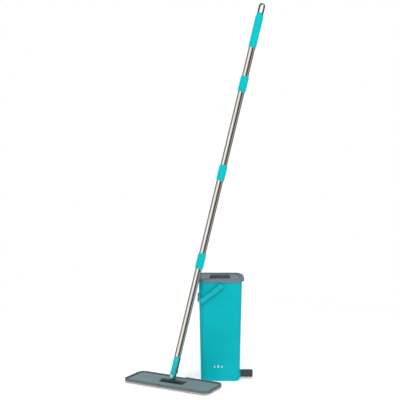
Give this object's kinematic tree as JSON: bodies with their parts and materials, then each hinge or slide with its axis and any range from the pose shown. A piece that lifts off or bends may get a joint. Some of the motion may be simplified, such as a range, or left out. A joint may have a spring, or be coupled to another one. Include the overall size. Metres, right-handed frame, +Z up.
{
  "type": "flat mop with wringing bucket",
  "caption": "Flat microfibre mop on a sectional steel pole, with an upright bucket whose slotted insert washes and wrings the folded head.",
  "frame": {"origin": "centre of the bucket's base, on the floor", "axes": "+Z up, +X towards the drain outlet, -Y is the front with the mop; the mop's head also stands on Z = 0"},
  "size_m": [0.4556, 0.3088, 1.2322],
  "materials": {
    "bucket_teal": "satin moulded polypropylene",
    "handle_teal": "satin moulded polypropylene",
    "bright_teal": "satin moulded polypropylene",
    "collar_grey": "satin grey plastic",
    "panel_grey": "satin light grey plastic",
    "plate_grey": "fine-grained grey plastic",
    "dark_plastic": "satin dark plastic",
    "drain_grey": "ribbed grey plastic",
    "steel": "bright steel",
    "tube_steel": "polished stainless tube",
    "rubber": "black rubber",
    "roller_white": "off-white plastic",
    "brush": "nylon bristles",
    "pin_white": "glossy white",
    "hook": "hook tape",
    "microfibre": "tufted microfibre"
  },
  "bodies": {
    "bucket": {"bucket_shell": "bucket_teal", "bail_pins": "handle_teal", "drain_spout": "dark_plastic", "drain_gasket": "rubber", "drain_nut": "dark_plastic"},
    "bail": {"bail_handle": "handle_teal"},
    "seal": {"drain_seal": "rubber"},
    "cap": {"drain_cap": "drain_grey"},
    "insert": {"collar_ring": "collar_grey", "slot_panel": "panel_grey", "neck_guide": "dark_plastic", "divider_panel": "collar_grey", "wash_brush": "brush", "scraper_holder": "dark_plastic", "scraper_blade": "rubber", "roller_bracket_left": "dark_plastic", "roller_bracket_right": "dark_plastic", "roller_axle": "steel", "panel_screws": "steel"},
    "roller": {"squeeze_roller": "roller_white"},
    "pole": {"lower_connector": "bright_teal", "button_rail": "dark_plastic", "pivot_pin": "pin_white", "button_spring": "steel", "lower_tube": "tube_steel", "lower_mid_tube": "tube_steel", "upper_mid_tube": "tube_steel", "upper_tube": "tube_steel", "sleeve_lower": "bright_teal", "sleeve_middle": "bright_teal", "sleeve_upper": "bright_teal", "core_lower": "dark_plastic", "core_middle": "dark_plastic", "core_upper": "dark_plastic", "grip": "bright_teal", "end_plug": "bright_teal", "loop_pin": "steel"},
    "button": {"lock_button": "dark_plastic"},
    "loop": {"hanging_loop": "dark_plastic"},
    "cradle": {"cradle": "dark_plastic", "cradle_axle": "steel"},
    "head": {"mop_plate": "plate_grey", "bearing_cap_left": "dark_plastic", "bearing_cap_right": "dark_plastic", "cap_screws": "steel", "hook_strips": "hook", "mop_pad": "microfibre"}
  },
  "joints": [
    {"name": "bail_swing", "type": "hinge", "parent": "bucket", "child": "bail", "pos_m": [0, 0, 0.316], "axis": [0, 1, 0], "range_deg": [0, 245]},
    {"name": "drain_seal_travel", "type": "slide", "parent": "bucket", "child": "seal", "axis": [1, 0, 0], "range_m": [0, 0.012]},
    {"name": "drain_cap_spin", "type": "hinge", "parent": "seal", "child": "cap", "pos_m": [0.08, -0.026, 0.017], "axis": [1, 0, 0], "range_deg": [0, 1081]},
    {"name": "insert_lift", "type": "slide", "parent": "bucket", "child": "insert", "axis": [0, 0, 1], "range_m": [0, 0.3]},
    {"name": "roller_spin", "type": "hinge", "parent": "insert", "child": "roller", "pos_m": [0, -0.011, 0.314], "axis": [1, 0, 0], "continuous": true},
    {"name": "mop_lift", "type": "slide", "parent": "bucket", "child": "pole", "axis": [-0.0984, -0.1476, 0.9841], "range_m": [0, 0.5]},
    {"name": "head_flip", "type": "hinge", "parent": "pole", "child": "cradle", "pos_m": [-0.15482, -0.10584, 0.03033], "axis": [0.4754, 0.8684, -0.1409], "range_deg": [-79, 101]},
    {"name": "head_tilt", "type": "hinge", "parent": "cradle", "child": "head", "pos_m": [-0.156, -0.108, 0.013], "axis": [0.8771, -0.4802, 0], "range_deg": [-52, 35.8]},
    {"name": "button_press", "type": "slide", "parent": "pole", "child": "button", "axis": [-0.8481, 0.495, 0.1889], "range_m": [0, 0.002], "stiffness_N_per_m": 400, "springref_m": -0.001, "deforming": ["button_spring"]},
    {"name": "loop_fold", "type": "hinge", "parent": "pole", "child": "loop", "pos_m": [0.12632, -0.07014, 1.19896], "axis": [0.8481, -0.495, -0.1889], "range_deg": [-90, 90]}
  ],
  "couplings": [
    {"joint": "drain_cap_spin", "follows": "drain_seal_travel", "rad_per_m": 1570.8}
  ]
}
